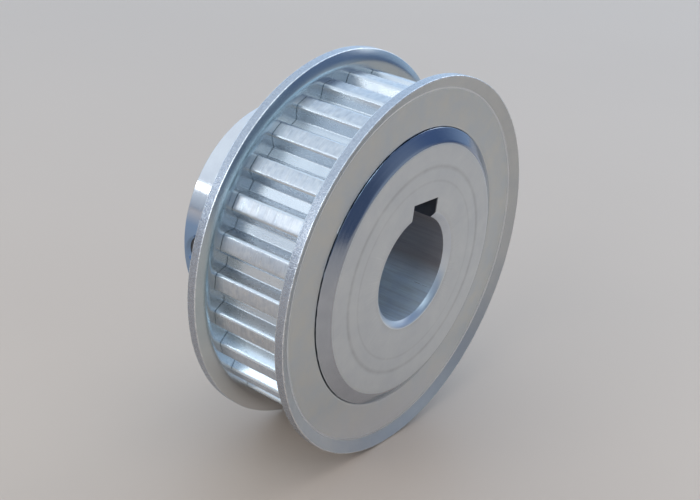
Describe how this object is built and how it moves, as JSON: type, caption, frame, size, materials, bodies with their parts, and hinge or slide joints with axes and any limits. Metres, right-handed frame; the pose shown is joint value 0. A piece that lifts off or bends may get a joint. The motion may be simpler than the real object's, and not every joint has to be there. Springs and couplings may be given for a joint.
{
  "type": "timing belt pulley",
  "caption": "Flanged timing belt pulley with a toothed rim, a front shoulder and a rear hub boss, keyed on a shaft and locked by radial set screws.",
  "frame": {"origin": "on the bore's axis, halfway along the pulley, at the centre of its box", "axes": "+Y along the bore's axis, from the front face towards the hub boss; +Z through the middle of the keyway; the flange rims reach Z = -25 mm"},
  "size_m": [0.05, 0.026, 0.05],
  "materials": {
    "turned_aluminium": "satin turned, with fine concentric tool marks on the faces",
    "zinc_plated_steel": "satin zinc plate on pressed sheet, slightly green-grey",
    "black_oxide_steel": "oiled black oxide"
  },
  "bodies": {
    "pulley": {"toothed_hub": "turned_aluminium", "front_flange": "zinc_plated_steel", "rear_flange": "zinc_plated_steel"},
    "key_screw": {"key_set_screw": "black_oxide_steel"},
    "side_screw": {"side_set_screw": "black_oxide_steel"}
  },
  "joints": [
    {"name": "key_screw_travel", "type": "slide", "parent": "pulley", "child": "key_screw", "axis": [0, 0, 1], "range_m": [-0.0008, 0.004]},
    {"name": "side_screw_travel", "type": "slide", "parent": "pulley", "child": "side_screw", "axis": [-0.9914, 0, -0.1305], "range_m": [-0.0008, 0.0064]}
  ]
}
